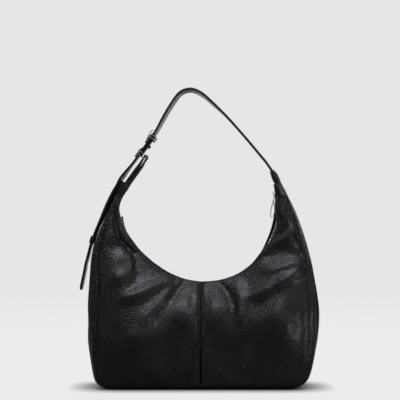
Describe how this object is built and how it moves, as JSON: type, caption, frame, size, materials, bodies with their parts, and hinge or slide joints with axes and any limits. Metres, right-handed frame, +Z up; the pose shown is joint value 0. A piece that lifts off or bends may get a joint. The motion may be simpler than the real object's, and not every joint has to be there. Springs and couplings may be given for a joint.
{
  "type": "hobo bag",
  "caption": "Soft curved shoulder bag with a scooped zip mouth, gusseted sides and a buckled swinging strap.",
  "frame": {"origin": "middle of the flat base, on the ground", "axes": "+X to the bag's right as seen from its front, +Y towards its back, +Z up"},
  "size_m": [0.3504, 0.1128, 0.4412],
  "materials": {
    "leather": "black pebbled leather, semi-gloss",
    "edge_leather": "smooth black leather with painted edges",
    "silver": "polished silver-coloured metal",
    "dark_metal": "dark nickel plating",
    "zip_tape": "black woven zip tape",
    "lining": "matt charcoal cloth",
    "board": "brown fibre board"
  },
  "bodies": {
    "bag": {"front_panel_left": "leather", "front_panel_right": "leather", "back_panel_left": "leather", "back_panel_right": "leather", "gusset_left": "leather", "gusset_right": "leather", "base_panel": "leather", "base_board": "board", "lining": "lining", "slip_pocket": "lining", "rim_binding_front": "edge_leather", "rim_binding_back": "edge_leather", "zip_tape_front": "zip_tape", "zip_tape_back": "zip_tape", "zip_teeth_front": "silver", "zip_teeth_back": "silver", "zip_stop_left": "silver", "zip_stop_right": "silver", "tab_left": "edge_leather", "tab_right": "edge_leather", "strap_lower_run": "leather", "strap_keeper": "edge_leather"},
    "handle": {"strap": "leather", "ring_tab": "edge_leather", "strap_ring": "silver", "strap_chape": "edge_leather", "chape_stud": "dark_metal", "buckle_frame": "silver", "buckle_bar": "silver"},
    "prong": {"buckle_prong": "silver"},
    "loose_end": {"strap_end": "leather"},
    "slider": {"zip_slider": "silver"},
    "pull": {"zip_pull": "silver"},
    "loop": {"zip_loop": "silver"}
  },
  "joints": [
    {"name": "strap_swing", "type": "hinge", "parent": "bag", "child": "handle", "pos_m": [0.00395, 0, 0.32045], "axis": [0.9999, 0, 0.0156], "range_deg": [-60, 60]},
    {"name": "prong_lift", "type": "hinge", "parent": "handle", "child": "prong", "pos_m": [-0.07895, 0, 0.36672], "axis": [0, -1, 0], "range_deg": [0, 100]},
    {"name": "strap_end_flap", "type": "hinge", "parent": "bag", "child": "loose_end", "pos_m": [-0.1633, 0, 0.2054], "axis": [0, 1, 0], "range_deg": [0, 75]},
    {"name": "zip_slide", "type": "hinge", "parent": "bag", "child": "slider", "pos_m": [-0.001, 0, 0.268], "axis": [0, 1, 0], "range_deg": [0, 170]},
    {"name": "zip_pull_swing", "type": "hinge", "parent": "slider", "child": "pull", "pos_m": [0.10994, 0, 0.28372], "axis": [0, 1, 0], "range_deg": [-12, 75]},
    {"name": "zip_loop_swing", "type": "hinge", "parent": "slider", "child": "loop", "pos_m": [0.10969, 0, 0.2854], "axis": [0, 1, 0], "range_deg": [-4, 75]}
  ]
}
